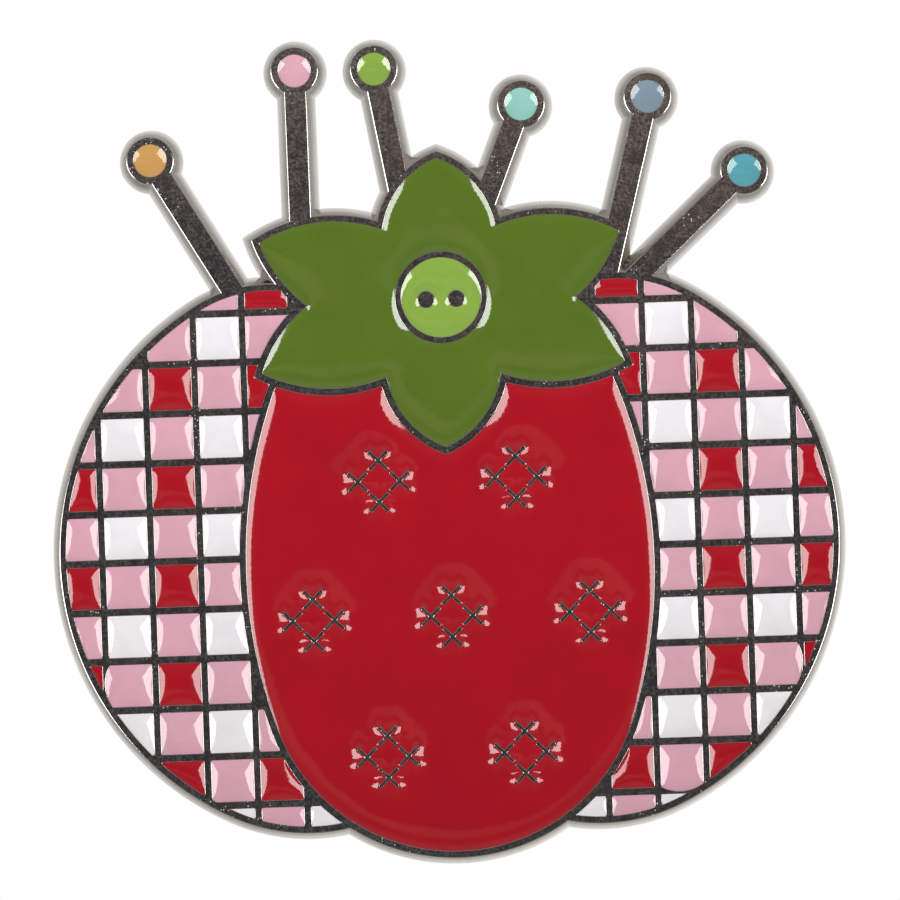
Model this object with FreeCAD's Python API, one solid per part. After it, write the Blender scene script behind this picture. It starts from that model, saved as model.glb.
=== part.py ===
import FreeCAD, Part
import math
import os

# Needle minder: an enamelled metal badge in the shape of a strawberry pin cushion on a gingham heart,
# with a disc magnet glued to its back and a loose keeper magnet that clamps the fabric.
# The artwork is laid out in mm on the art plane: x to the right, y up, z out of the face.
# The art plane's origin is the magnets' axis, and z = 0 is the fabric grip plane between the magnets.
# stand_up() turns the finished solids into the part's own frame: face towards -Y, top towards +Z.

# --- plate, mm ---
PLATE_THICKNESS = 1.9
POCKET_DEPTH = 0.5           # floor of the enamel pockets below the polished lines
ENAMEL_DEPTH = 0.34          # enamel fill above the pocket floor
FLANK_SPREAD = 0.45          # how far the side wall leans out from the face to the back
EDGE_ROUND = 0.12            # rounding of the plate's outer front edge
BORDER = 0.42                # width of the raised outline round each motif
GRID_LINE = 0.43             # width of the gingham's raised lines
BACK_FIELD_DEPTH = 0.12      # shallow field in the back, inside a flat rim
BACK_RIM = 0.85              # rim width, measured in from the front outline

# --- magnets and adhesive ---
MAGNET_RADIUS = 6.0
MAGNET_THICKNESS = 2.0
MAGNET_CHAMFER = 0.2
SEAT_DEPTH = 0.3             # round seat in the plate's back that centres the magnet
SEAT_RADIUS = 6.5
ADHESIVE_THICKNESS = 0.12
ADHESIVE_RADIUS = 6.35
ADHESIVE_BEAD = 0.3          # how far the squeezed-out bead climbs the magnet's side

# --- gingham heart: each lobe is a round outer arc with a tighter arc at its top and bottom ---
LOBE_X = 5.65
LOBE_RADIUS = 16.55
LOBE_TOP_RADIUS = 8.0
LOBE_TOP_ANGLE = 60.0        # degrees, where the outer arc turns into the top arc
LOBE_TOP_END = 100.0
LOBE_LOW_RADIUS = 10.5
LOBE_LOW_ANGLE = -64.0
LOBE_LOW_END = -110.0
LOBE_HIDDEN_TOP = 10.0       # the outline closes along the centre line, under the leaf and strawberry
LOBE_HIDDEN_LOW = -12.0
GRID_PITCH = 2.795
GRID_COLUMN_X = 5.775        # innermost column line; the others follow outwards at the pitch
GRID_COLUMNS = 6
GRID_ROW_Y = -16.975         # lowest row line, hidden in the rim; rows from it alternate white and red
GRID_ROWS = 12
SMALLEST_CELL = 0.05         # mm2; smaller clipped corners stay solid metal

# --- strawberry: one bottom arc and two flatter side arcs tangent to it ---
BERRY_LOW_Y = -6.55
BERRY_LOW_RADIUS = 10.65
BERRY_SIDE_X = -16.6         # centre of the right-hand side arc
BERRY_SIDE_Y = -0.95
BERRY_TOP_Y = 11.0           # hidden under the leaf

# --- leaf cap: right half from the top tip to the bottom tip, as a point on each arc and the arc's end ---
LEAF_TOP = (0.0, 22.18)
LEAF_ARCS = [
    ((1.75, 21.05), (3.2, 18.21)),
    ((6.7, 18.75), (10.22, 17.69)),
    ((9.35, 15.95), (7.6, 14.03)),
    ((9.2, 12.4), (10.28, 10.28)),
    ((7.0, 9.34), (3.23, 9.87)),
    ((2.2, 7.45), (0.0, 5.79)),
]

# --- button on the leaf ---
BUTTON_Y = 14.27
BUTTON_RING_RADIUS = 2.63
BUTTON_RADIUS = 2.26
BUTTON_DOT_RADIUS = 0.49
BUTTON_DOT_X = 0.86
BUTTON_DOT_DROP = 0.1

# --- six dressmaker's pins: name, head centre, and the shaft's foot, hidden in the leaf or lobe ---
PINS = [
    ("amber", (-16.27, 22.59), (-11.7, 14.8)),
    ("pink", (-7.90, 27.41), (-7.85, 18.8)),
    ("lime", (-3.38, 27.36), (-2.1, 20.0)),
    ("aqua", (4.91, 25.09), (2.5, 19.15)),
    ("slate", (12.11, 25.28), (9.41, 15.06)),
    ("teal", (17.46, 20.90), (10.75, 14.74)),
]
PIN_HEAD_RADIUS = 1.37
PIN_SHAFT_WIDTH = 1.3
PIN_ENAMEL_RADIUS = 0.92

# --- stitched stars on the strawberry: each is four raised crosses ---
STAR_ROWS = [(3.93, (-3.9, 3.9)), (-3.85, (-7.87, 0.0, 7.87)), (-11.72, (-3.9, 3.9))]
STAR_SPREAD = 1.19           # cross centre from star centre
CROSS_ARM = 0.75             # half length of each stroke of a cross
CROSS_STROKE = 0.2

OVERLAP = 0.5                # how far a cutting tool stands proud of what it cuts
FLUSH = 0.001                # tolerance for finding the edges that lie in the face plane
ROUNDED, MITRED = 0, 2       # corner styles of an offset outline

# --- heights along z ---
PLATE_BACK = MAGNET_THICKNESS + ADHESIVE_THICKNESS - SEAT_DEPTH
FACE = PLATE_BACK + PLATE_THICKNESS
POCKET_FLOOR = FACE - POCKET_DEPTH
ENAMEL_TOP = POCKET_FLOOR + ENAMEL_DEPTH


# --- helpers ---

def vec(x, y, z=0.0):
    return FreeCAD.Vector(x, y, z)


def arc(start, through, end):
    return Part.Arc(vec(*start), vec(*through), vec(*end)).toShape()


def disc(centre, radius):
    circle = Part.Circle(vec(*centre), vec(0, 0, 1), radius)
    return Part.Face(Part.Wire(circle.toShape()))


def polar(centre, radius, degrees):
    angle = math.radians(degrees)
    return (centre[0] + radius * math.cos(angle), centre[1] + radius * math.sin(angle))


def arc_about(centre, radius, start, end):
    """Arc from one angle to another, in degrees, about a centre."""
    points = [polar(centre, radius, angle) for angle in (start, (start + end) / 2, end)]
    return arc(*points)


def prism(face, bottom, top):
    lifted = face.copy()
    lifted.translate(vec(0, 0, bottom))
    return lifted.extrude(vec(0, 0, top - bottom))


def revolved(profile):
    """Turn a closed (radius, z) profile about the magnets' axis."""
    points = [vec(radius, 0.0, z) for radius, z in profile]
    face = Part.Face(Part.makePolygon(points + points[:1]))
    return face.revolve(vec(0, 0, 0), vec(0, 0, 1), 360)


def mirrored(wire):
    return wire.mirror(vec(0, 0), vec(1, 0))


# --- outlines on the art plane; grow moves an outline outwards ---

def lobe_outline(side, grow=0.0):
    outer = (LOBE_X, 0.0)
    upper = polar(outer, LOBE_RADIUS - LOBE_TOP_RADIUS, LOBE_TOP_ANGLE)
    lower = polar(outer, LOBE_RADIUS - LOBE_LOW_RADIUS, LOBE_LOW_ANGLE)
    low_arc = arc_about(lower, LOBE_LOW_RADIUS + grow, LOBE_LOW_END, LOBE_LOW_ANGLE)
    outer_arc = arc_about(outer, LOBE_RADIUS + grow, LOBE_LOW_ANGLE, LOBE_TOP_ANGLE)
    top_arc = arc_about(upper, LOBE_TOP_RADIUS + grow, LOBE_TOP_ANGLE, LOBE_TOP_END)
    hidden_top = vec(0.0, LOBE_HIDDEN_TOP)
    hidden_low = vec(0.0, LOBE_HIDDEN_LOW)
    closing = [
        Part.makeLine(vec(*polar(upper, LOBE_TOP_RADIUS + grow, LOBE_TOP_END)), hidden_top),
        Part.makeLine(hidden_top, hidden_low),
        Part.makeLine(hidden_low, vec(*polar(lower, LOBE_LOW_RADIUS + grow, LOBE_LOW_END))),
    ]
    wire = Part.Wire([low_arc, outer_arc, top_arc] + closing)
    return wire if side > 0 else mirrored(wire)


def berry_outline(grow=0.0):
    low = (0.0, BERRY_LOW_Y)
    low_radius = BERRY_LOW_RADIUS + grow
    side = (BERRY_SIDE_X, BERRY_SIDE_Y)
    side_radius = math.hypot(low[0] - side[0], low[1] - side[1]) + low_radius
    join_angle = math.degrees(math.atan2(low[1] - side[1], low[0] - side[0]))
    top_angle = math.degrees(math.asin((BERRY_TOP_Y - BERRY_SIDE_Y) / side_radius))
    right_arc = arc_about(side, side_radius, join_angle, top_angle)
    low_arc = arc_about(low, low_radius, -180.0 - join_angle, join_angle)
    top_right = polar(side, side_radius, top_angle)
    top_line = Part.makeLine(vec(*top_right), vec(-top_right[0], top_right[1]))
    return Part.Wire([low_arc, right_arc, top_line, mirrored(right_arc)])


def leaf_outline(grow=0.0):
    edges = []
    for side in (1, -1):
        start = LEAF_TOP
        for through, end in LEAF_ARCS:
            edges.append(arc(*[(side * x, y) for x, y in (start, through, end)]))
            start = end
    wire = Part.Wire(Part.sortEdges(edges)[0])
    if grow == 0.0:
        return wire
    return wire.makeOffset2D(grow, MITRED if grow > 0.0 else ROUNDED)


def shaft_outline(head, foot, grow=0.0):
    half = PIN_SHAFT_WIDTH / 2 + grow
    length = math.hypot(foot[0] - head[0], foot[1] - head[1])
    across_x = (head[1] - foot[1]) / length * half
    across_y = (foot[0] - head[0]) / length * half
    corners = [
        vec(head[0] + across_x, head[1] + across_y),
        vec(head[0] - across_x, head[1] - across_y),
        vec(foot[0] - across_x, foot[1] - across_y),
        vec(foot[0] + across_x, foot[1] + across_y),
    ]
    return Part.makePolygon(corners + corners[:1])


# --- the metal plate ---

def leaning(outline):
    """Solid whose wall leans out from outline(0) at the face to outline(FLANK_SPREAD) at the back."""
    front = outline(0.0)
    back = outline(FLANK_SPREAD)
    front.translate(vec(0, 0, FACE))
    back.translate(vec(0, 0, PLATE_BACK))
    solid = Part.makeLoft([back, front], True, True)
    rim = [edge for edge in solid.Edges if edge.BoundBox.ZMin > FACE - FLUSH]
    return solid.makeFillet(EDGE_ROUND, rim)


def plate_blank():
    lobes = [leaning(lambda grow: lobe_outline(side, grow)) for side in (-1, 1)]
    berry = leaning(lambda grow: berry_outline(BORDER + grow))
    leaf = leaning(lambda grow: leaf_outline(BORDER + grow))
    heads = [leaning(lambda grow: disc(head, PIN_HEAD_RADIUS + grow).OuterWire) for name, head, foot in PINS]
    shafts = [leaning(lambda grow: shaft_outline(head, foot, grow)) for name, head, foot in PINS]
    return lobes[0].fuse([lobes[1], berry, leaf] + heads + shafts)


def back_field():
    """Shallow field sunk in the back, following the lobes, strawberry and leaf inside a flat rim."""
    outlines = [lobe_outline(side, -BACK_RIM) for side in (-1, 1)]
    outlines.append(berry_outline(BORDER - BACK_RIM))
    outlines.append(leaf_outline(BORDER - BACK_RIM))
    faces = [Part.Face(outline) for outline in outlines]
    field = faces[0].fuse(faces[1:]).removeSplitter()
    return prism(field, PLATE_BACK - OVERLAP, PLATE_BACK + BACK_FIELD_DEPTH)


def base_plate(areas):
    pockets = [prism(face, POCKET_FLOOR, FACE + OVERLAP) for faces in areas.values() for face in faces]
    seat = prism(disc((0.0, 0.0), SEAT_RADIUS), PLATE_BACK - OVERLAP, PLATE_BACK + SEAT_DEPTH)
    return plate_blank().cut(pockets + [back_field(), seat])


# --- enamel areas: faces on the art plane, one per fill ---

def cross(centre):
    """Two crossed strokes as one face."""
    strokes = []
    for angle in (45, -45):
        stroke = Part.makePlane(2 * CROSS_ARM, CROSS_STROKE, vec(-CROSS_ARM, -CROSS_STROKE / 2))
        stroke.rotate(vec(0, 0), vec(0, 0, 1), angle)
        stroke.translate(vec(*centre))
        strokes.append(stroke)
    return strokes[0].fuse(strokes[1]).removeSplitter()


def star_crosses():
    crosses = []
    for y, row in STAR_ROWS:
        for x in row:
            for dx, dy in ((1, 0), (0, 1), (-1, 0), (0, -1)):
                crosses.append(cross((x + dx * STAR_SPREAD, y + dy * STAR_SPREAD)))
    return crosses


def berry_area():
    return Part.Face(berry_outline()).cut([Part.Face(leaf_outline(BORDER))] + star_crosses())


def leaf_area():
    return Part.Face(leaf_outline()).cut(disc((0.0, BUTTON_Y), BUTTON_RING_RADIUS))


def button_area():
    dot_y = BUTTON_Y - BUTTON_DOT_DROP
    dots = [disc((side * BUTTON_DOT_X, dot_y), BUTTON_DOT_RADIUS) for side in (-1, 1)]
    return disc((0.0, BUTTON_Y), BUTTON_RADIUS).cut(dots)


def cell_colour(column, row):
    reds = (column % 2) + (row % 2)
    return ("white", "pink", "red")[reds]


def gingham_areas():
    """Cells of the gingham as {node name: faces}, grouped by side, column and colour."""
    covered = [Part.Face(berry_outline(BORDER)), Part.Face(leaf_outline(BORDER))]
    opening = GRID_PITCH - GRID_LINE
    groups = {}
    for side, side_name in ((-1, "left"), (1, "right")):
        cloth = Part.Face(lobe_outline(side, -BORDER)).cut(covered)
        for column in range(GRID_COLUMNS):
            inner_x = GRID_COLUMN_X + column * GRID_PITCH + GRID_LINE / 2
            low_x = inner_x if side > 0 else -inner_x - opening
            for row in range(GRID_ROWS):
                low_y = GRID_ROW_Y + row * GRID_PITCH + GRID_LINE / 2
                cell = Part.makePlane(opening, opening, vec(low_x, low_y)).common(cloth)
                faces = [face for face in cell.Faces if face.Area > SMALLEST_CELL]
                if faces:
                    name = "enamel_%s_col%d_%s" % (side_name, column + 1, cell_colour(column, row))
                    groups.setdefault(name, []).extend(faces)
    return groups


def enamel_areas():
    areas = {
        "enamel_strawberry": berry_area().Faces,
        "enamel_leaf": leaf_area().Faces,
        "enamel_button": button_area().Faces,
    }
    for name, head, foot in PINS:
        areas["enamel_pin_" + name] = [disc(head, PIN_ENAMEL_RADIUS)]
    areas.update(gingham_areas())
    return areas


def enamel_fill(faces):
    return Part.makeCompound([prism(face, POCKET_FLOOR, ENAMEL_TOP) for face in faces])


# --- magnets and adhesive ---

def magnet(bottom):
    top = bottom + MAGNET_THICKNESS
    flat = MAGNET_RADIUS - MAGNET_CHAMFER
    return revolved([
        (0.0, bottom),
        (flat, bottom),
        (MAGNET_RADIUS, bottom + MAGNET_CHAMFER),
        (MAGNET_RADIUS, top - MAGNET_CHAMFER),
        (flat, top),
        (0.0, top),
    ])


def adhesive():
    """Glue disc with a bead squeezed out round the magnet's upper edge."""
    top = MAGNET_THICKNESS + ADHESIVE_THICKNESS
    return revolved([
        (0.0, MAGNET_THICKNESS),
        (MAGNET_RADIUS - MAGNET_CHAMFER, MAGNET_THICKNESS),
        (MAGNET_RADIUS, MAGNET_THICKNESS - MAGNET_CHAMFER),
        (MAGNET_RADIUS, MAGNET_THICKNESS - ADHESIVE_BEAD),
        (ADHESIVE_RADIUS, MAGNET_THICKNESS),
        (ADHESIVE_RADIUS, top),
        (0.0, top),
    ])


def stand_up(shape):
    """Turn a shape from the art plane into the part's frame."""
    placed = shape.copy()
    placed.rotate(vec(0, 0, 0), vec(1, 0, 0), 90)
    return placed


def build():
    areas = enamel_areas()
    nodes = {name: enamel_fill(faces) for name, faces in areas.items()}
    nodes["base_plate"] = Part.makeCompound(base_plate(areas).Solids)
    nodes["magnet_adhesive"] = adhesive()
    nodes["fixed_magnet"] = magnet(0.0)
    nodes["keeper_magnet"] = magnet(-MAGNET_THICKNESS)
    os.makedirs("parts", exist_ok=True)
    for name, shape in nodes.items():
        stand_up(shape).exportStep("parts/%s.step" % name)
        print(name, len(shape.Solids), "solids, valid:", shape.isValid(), "mm3: %.2f" % shape.Volume)


build()
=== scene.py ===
import bpy
import math
import numpy as np
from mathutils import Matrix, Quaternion, Vector, geometry
from mathutils.kdtree import KDTree


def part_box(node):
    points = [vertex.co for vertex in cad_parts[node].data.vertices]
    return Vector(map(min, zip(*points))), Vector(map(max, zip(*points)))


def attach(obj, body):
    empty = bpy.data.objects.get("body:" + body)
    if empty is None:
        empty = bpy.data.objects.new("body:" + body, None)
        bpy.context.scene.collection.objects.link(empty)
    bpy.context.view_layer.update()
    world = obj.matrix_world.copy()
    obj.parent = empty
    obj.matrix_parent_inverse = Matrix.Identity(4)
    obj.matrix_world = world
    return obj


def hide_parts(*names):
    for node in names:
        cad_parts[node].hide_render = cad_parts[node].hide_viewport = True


# Needle minder in the shape of a strawberry pin cushion: a nickel-plated, die-struck badge filled with soft
# enamel, a disc magnet glued to its back and a loose keeper magnet. Shapes are worked out in mm on the art
# plane, whose x is the part's X and whose y is the part's Z; depth is the part's Y, from the face back.

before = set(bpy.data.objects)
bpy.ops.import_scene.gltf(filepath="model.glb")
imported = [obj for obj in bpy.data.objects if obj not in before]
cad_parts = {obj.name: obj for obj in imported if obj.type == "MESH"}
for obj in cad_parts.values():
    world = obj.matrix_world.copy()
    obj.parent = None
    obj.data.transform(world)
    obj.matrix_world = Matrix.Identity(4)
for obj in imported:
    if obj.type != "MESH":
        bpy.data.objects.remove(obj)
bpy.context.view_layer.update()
MM = 0.001

# --- depths, from the frame ---
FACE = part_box("base_plate")[0].y / MM
PLATE_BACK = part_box("base_plate")[1].y / MM
POCKET_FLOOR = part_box("enamel_leaf")[1].y / MM
CAD_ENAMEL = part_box("enamel_leaf")[0].y / MM
SEAT_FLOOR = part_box("magnet_adhesive")[0].y / MM
ENAMEL_NODES = sorted(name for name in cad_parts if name.startswith("enamel_"))

# --- plate, mm ---
LINE_ROUND = 0.035           # rounding of the raised lines along the pockets
EDGE_ROUND = 0.12            # rounding of the plate's outer front edge
EDGE_TURN = math.radians(70) # where the edge's rounding runs into the side wall
EDGE_WIDTH = EDGE_ROUND * math.sin(EDGE_TURN)
FLANK_END = 0.545            # the back edge's distance outside the face's outline
FLANK_CURVE = 1.5            # 1 is a flat side wall; more swells it, steepest at the back
STEEPEST_SHARE = 0.02        # last share of the side wall, where it gets no steeper
LINE_RING_ANGLES = (30, 60, 90)          # degrees round a line's edge, one ring of points each
EDGE_RING_ANGLES = (20, 40, 60)
FLANK_RINGS = (0.3, 0.6, 0.85)           # rings on the side wall, as shares of its width
BACK_FIELD_DEPTH = 0.12      # shallow field in the back
FIELD_SLOPE = 0.1            # width of the field's drafted edge
SLOPE_RINGS = (0.25, 0.5, 0.75, 1.0)     # rings on the field's edge, as shares of its width
FIELD_GRID = 0.45            # spacing of points on the field
FIELD_WAVE = 0.014           # unevenness of the struck field
FIELD_LONG_WAVE, FIELD_SHORT_WAVE = 1.9, 0.9
FIELD_SEED = 3
WAVE_COUNT, WAVE_PEAK = 6, 4 # waves that make up an unevenness, and about the most they add up to

# --- enamel, mm ---
MENISCUS_EDGE = 0.05         # enamel below the line tops at a wall
MENISCUS = {                 # how far its rise at a wall reaches, and how much lower it is far from walls
    "strawberry": (0.55, 0.27),
    "leaf": (0.4, 0.19),
    "button": (0.6, 0.32),
    "pin": (0.8, 0.7),
    "cell": (0.5, 0.34),
}
ENAMEL_RINGS = (0.05, 0.12, 0.21, 0.33, 0.5, 0.72)
ENAMEL_GRID = 0.3            # spacing of points away from the walls
ENAMEL_WAVES = ((9.0, 0.012), (2.6, 0.004))      # length and height of the surface's unevenness
SEED_STEP = 10               # between one fill's seed and the next
SOLVER_STEPS = 400
SOLVED, STILL = 1e-12, 1e-30 # what counts as solved, and the least movement to divide by

# --- magnets and glue, mm ---
TURNED_SIDES = 160
MAGNET_ROUND = 0.2           # rounding of the magnets' edges
GLUE_FILM = 0.12             # glue between the seat and the magnet
GLUE_INSET = 0.25            # from the magnet's side in to where that film is even
BEAD_FALL = 0.9              # share of its height that the bead falls towards the plate
BEAD_TIP = 0.02              # the bead's lap past the magnet's side

# --- outlines and meshes, mm ---
STEP = 0.16                  # spacing of points along an outline
BACK_STEP = 0.3              # the same on the back
SHARPEST_ARC = math.radians(35)          # a larger turn between two points is a corner
ARC_ERROR = 2e-3             # how far off a circle a point of the same arc may lie
MITRE_COSINE = 0.08          # limits the mitre of the sharpest corners
OUTER_MITRE = 2.5            # longest mitre round the outside of a corner
VALLEY_MITRE = 1.02          # a longer mitre inside a corner makes it a valley
RING_CLEAR, VALLEY_CLEAR = 0.99, 0.7     # a ring point's least distance to outlines, in ring distances
RING_SEARCH = 3              # how far around that is looked at, in ring distances
RING_GAP = 4 * STEP          # a wider gap in a ring is left open
FAR = 2.0                    # reach of a search for the nearest outline
SAME_WAY = math.cos(math.radians(25))    # beyond this a corner of a face leans the face's own way
SAME_NORMAL = math.cos(math.radians(35)) # beyond this a face keeps its own normal
NEAR_RIM = 5e-3              # a back point this close to the side wall's edge is the same point
WELD = 1e-4                  # points this close are one point
SHORTEST_SIDE = 50 * WELD    # an outline's shorter sides are dropped
LEVEL = 2e-4                 # tolerance of a depth
TOUCH = 1e-5                 # least length that counts
ON_OUTLINE = 100 * TOUCH     # a point this close to an outline is on it
TINY = 1e-12                 # least length to divide by
CHUNK = 3000000              # pairs of points and sides compared at a time
RIM, PLAIN = -2.0, -1.0      # labels of flat points; a ring round the face is labelled with its distance

# --- colours ---
NICKEL = {
    "clean": (0.62, 0.6, 0.565, 1),
    "stained": (0.56, 0.52, 0.48, 1),
    # the next four colours are painted reflection for the front-facing tops: a bright and bluish-black
    # mottle and brown patches, standing in for what the tops mirror
    "struck": (0.74, 0.71, 0.69, 1),
    "pit": (0.11, 0.105, 0.12, 1),
    "painted_reflection_mottle": (0.13, 0.125, 0.145, 1),
    "brown": (0.5, 0.42, 0.36, 1),
    "dull": (0.3, 0.285, 0.28, 1),
    "worn": (0.9, 0.88, 0.84, 1),
}
SPECK_PITCH = 0.14           # mm between the cells that hold worn specks
ENAMELS = {                  # display colours, 0 to 255
    "enamel_red": (166, 10, 28),
    "enamel_pink": (214, 163, 178),
    "enamel_white": (233, 231, 235),
    "enamel_leaf_green": (84, 109, 24),
    "enamel_lime": (133, 167, 66),
    "enamel_amber": (200, 153, 89),
    "enamel_aqua": (141, 194, 185),
    "enamel_slate": (123, 143, 156),
    "enamel_teal": (85, 156, 168),
}
ENAMEL_IOR, GLOSSY_IOR = 1.57, 1.75
GLOSSIER = ("enamel_leaf_green", "enamel_lime")

# --- camera, light and floor ---
AIM_X, AIM_Z = 0.21, 5.58    # mm, where the camera's axis meets the face
CAMERA_AWAY = 300.0          # mm
LENS, SENSOR = 211.2, 36.0
ROLL = math.radians(-1.97)
SOFTBOX_ASIDE = math.radians(43)         # from the camera's direction
SOFTBOX_UP = math.radians(-13)
SOFTBOX_AWAY = 1.0           # m, as are the next two
SOFTBOX_WIDTH, SOFTBOX_HEIGHT = 0.45, 0.6
SOFTBOX_RADIANCE = 7.5
ROOM = {                     # what the badge mirrors
    "front": (0.125, 0.121, 0.126, 1),
    "behind": (1.0, 0.985, 0.965, 1),
    "brown_left": (0.32, 0.29, 0.275, 1),
    "brown_right": (0.44, 0.35, 0.29, 1),
    "ceiling": (0.42, 0.41, 0.4, 1),
}
ROOM_LEVELS = (              # brightness from the camera's side, at 0, to behind the badge, at 1
    (0.015, 0.13), (0.05, 0.2), (0.3, 0.27), (0.5, 0.5), (0.62, 0.8),
    (0.85, 0.7), (0.88, 0.42), (0.905, 0.52), (0.935, 0.85), (0.965, 1.05),
)
FLOOR_SIDES = 96
FLOOR_RADIUS, FLOOR_HEIGHT = 0.15, -0.045        # m


# --- outlines taken from the frame's meshes ---

def node_mesh(name):
    """A CAD node's welded points in mm and its triangles."""
    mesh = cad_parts[name].data
    mesh.calc_loop_triangles()
    points = np.empty(len(mesh.vertices) * 3)
    mesh.vertices.foreach_get("co", points)
    points = points.reshape(-1, 3) / MM
    corners = np.empty(len(mesh.loop_triangles) * 3, np.int32)
    mesh.loop_triangles.foreach_get("vertices", corners)
    welded, index = np.unique(np.round(points / WELD).astype(np.int64), axis=0, return_inverse=True)
    return welded * WELD, index.reshape(-1)[corners].reshape(-1, 3)


def chained(edges):
    """Directed edges joined into closed loops of point numbers."""
    onward = {}
    for start, end in edges:
        onward.setdefault(start, []).append(end)
    loops = []
    while onward:
        loop = [next(iter(onward))]
        while True:
            here = loop[-1]
            there = onward[here].pop()
            if not onward[here]:
                del onward[here]
            if there == loop[0]:
                break
            loop.append(there)
        loops.append(loop)
    return loops


def open_edges(triangles):
    """Directed edges that only one triangle has."""
    edges = {(tri[k], tri[(k + 1) % 3]) for tri in triangles.tolist() for k in range(3)}
    return [edge for edge in sorted(edges) if edge[::-1] not in edges]


def level_loops(name, depth, facing=-1):
    """Closed outlines of a node's flat area at a depth, as (x, y) arrays with the area on their left."""
    points, triangles = node_mesh(name)
    flat = triangles[np.all(np.abs(points[triangles][:, :, 1] - depth) < LEVEL, axis=1)]
    a, b, c = (points[flat[:, k]] for k in range(3))
    flat = flat[np.cross(b - a, c - a)[:, 1] * facing > 0]
    loops = [points[loop][:, [0, 2]] for loop in chained(open_edges(flat))]
    return loops if facing < 0 else [loop[::-1] for loop in loops]


def signed_area(loop):
    x, y = loop.T
    return 0.5 * np.sum(x * np.roll(y, -1) - np.roll(x, -1) * y)


def circle_through(a, b, c):
    """Centre and radius of the circle through three points, or None if they are in line."""
    (ax, ay), (bx, by), (cx, cy) = a, b, c
    twice = 2 * (ax * (by - cy) + bx * (cy - ay) + cx * (ay - by))
    if abs(twice) < TOUCH:
        return None
    aa, bb, cc = ax * ax + ay * ay, bx * bx + by * by, cx * cx + cy * cy
    centre = np.array([
        (aa * (by - cy) + bb * (cy - ay) + cc * (ay - by)) / twice,
        (aa * (cx - bx) + bb * (ax - cx) + cc * (bx - ax)) / twice,
    ])
    return centre, np.linalg.norm(np.array(a) - centre)


def arc_under(loop, turns, i):
    """The circle that the side after point i lies on, or None for a straight side."""
    count = len(loop)
    for first in (i - 1, i, i - 2):
        four = [(first + k) % count for k in range(4)]
        middle = turns[four[1]], turns[four[2]]
        if middle[0] * middle[1] <= 0 or max(map(abs, middle)) > SHARPEST_ARC:
            continue
        found = circle_through(loop[four[0]], loop[four[1]], loop[four[3]])
        if found and abs(np.linalg.norm(loop[four[2]] - found[0]) - found[1]) < ARC_ERROR:
            return found[0]
    return None


def refined(loop, step=STEP):
    """The outline with points close together. Its given points lie on the true curves, so sides whose
    neighbours share a circle are filled in along it."""
    apart = np.linalg.norm(loop - np.roll(loop, 1, axis=0), axis=1) > SHORTEST_SIDE
    loop = loop[apart]
    after = np.roll(loop, -1, axis=0) - loop
    heading = np.arctan2(after[:, 1], after[:, 0])
    turns = (heading - np.roll(heading, 1) + math.pi) % (2 * math.pi) - math.pi
    dense = []
    for i, start in enumerate(loop):
        parts = max(1, math.ceil(np.hypot(*after[i]) / step))
        share = np.arange(parts)[:, None] / parts
        centre = arc_under(loop, turns, i) if parts > 1 or abs(turns[i]) < SHARPEST_ARC else None
        if centre is None:
            dense.append(start + share * after[i])
            continue
        a, b = start - centre, start + after[i] - centre
        first = math.atan2(a[1], a[0])
        sweep = (math.atan2(b[1], b[0]) - first + math.pi) % (2 * math.pi) - math.pi
        angle = first + share[:, 0] * sweep
        dense.append(centre + np.hypot(*a) * np.stack([np.cos(angle), np.sin(angle)], axis=1))
    return np.concatenate(dense)


def side_normals(loop):
    """Unit normals on an outline's right, and how much longer its mitred corners are."""
    after = np.roll(loop, -1, axis=0) - loop
    after /= np.linalg.norm(after, axis=1)[:, None]
    right = np.stack([after[:, 1], -after[:, 0]], axis=1)
    both = right + np.roll(right, 1, axis=0)
    both /= np.maximum(np.linalg.norm(both, axis=1), TOUCH)[:, None]
    return both, 1 / np.maximum(np.sum(both * right, axis=1), MITRE_COSINE)


def closes_right(loop):
    """Whether the outline turns right at each point, so that its right side has a valley there."""
    after = np.roll(loop, -1, axis=0) - loop
    before = np.roll(after, 1, axis=0)
    return before[:, 0] * after[:, 1] - before[:, 1] * after[:, 0] < 0


def closest(points, loops, reach):
    """Each point's distance to the nearest outline, at most reach, and its direction from there. On the
    outline itself the direction is to its right."""
    best = np.full(len(points), float(reach))
    away = np.zeros((len(points), 2))
    for loop in loops:
        near = np.all((points > loop.min(0) - reach) & (points < loop.max(0) + reach), axis=1)
        near = np.nonzero(near)[0]
        side = np.roll(loop, -1, axis=0) - loop
        square = np.sum(side * side, axis=1)
        normals = side_normals(loop)[0]
        for part in np.array_split(near, len(near) * len(loop) // CHUNK + 1):
            if not len(part):
                continue
            from_start = points[part][:, None] - loop[None]
            along = np.clip(np.sum(from_start * side, axis=2) / square, 0, 1)
            offset = from_start - along[:, :, None] * side
            distance = np.hypot(offset[:, :, 0], offset[:, :, 1])
            rows, k = np.arange(len(part)), distance.argmin(axis=1)
            share = along[rows, k][:, None]
            normal = (1 - share) * normals[k] + share * np.roll(normals, -1, axis=0)[k]
            distance, offset = distance[rows, k], offset[rows, k]
            touching = distance < ON_OUTLINE
            offset = np.where(touching[:, None], normal, offset / np.maximum(distance, TOUCH)[:, None])
            better = distance < best[part]
            best[part[better]] = distance[better]
            away[part[better]] = offset[better]
    return best, away


def inside(points, loops):
    """Whether each point is inside an odd number of outlines."""
    odd = np.zeros(len(points), bool)
    for loop in loops:
        near = np.nonzero(np.all((points > loop.min(0)) & (points < loop.max(0)), axis=1))[0]
        (ax, ay), (bx, by) = loop.T, np.roll(loop, -1, axis=0).T
        for part in np.array_split(near, len(near) * len(loop) // CHUNK + 1):
            x, y = points[part][:, None, 0], points[part][:, None, 1]
            spans = (ay > y) != (by > y)
            with np.errstate(divide="ignore", invalid="ignore"):
                crosses = spans & (x < (bx - ax) * (y - ay) / (by - ay) + ax)
            odd[part] ^= crosses.sum(axis=1) % 2 == 1
    return odd


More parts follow.
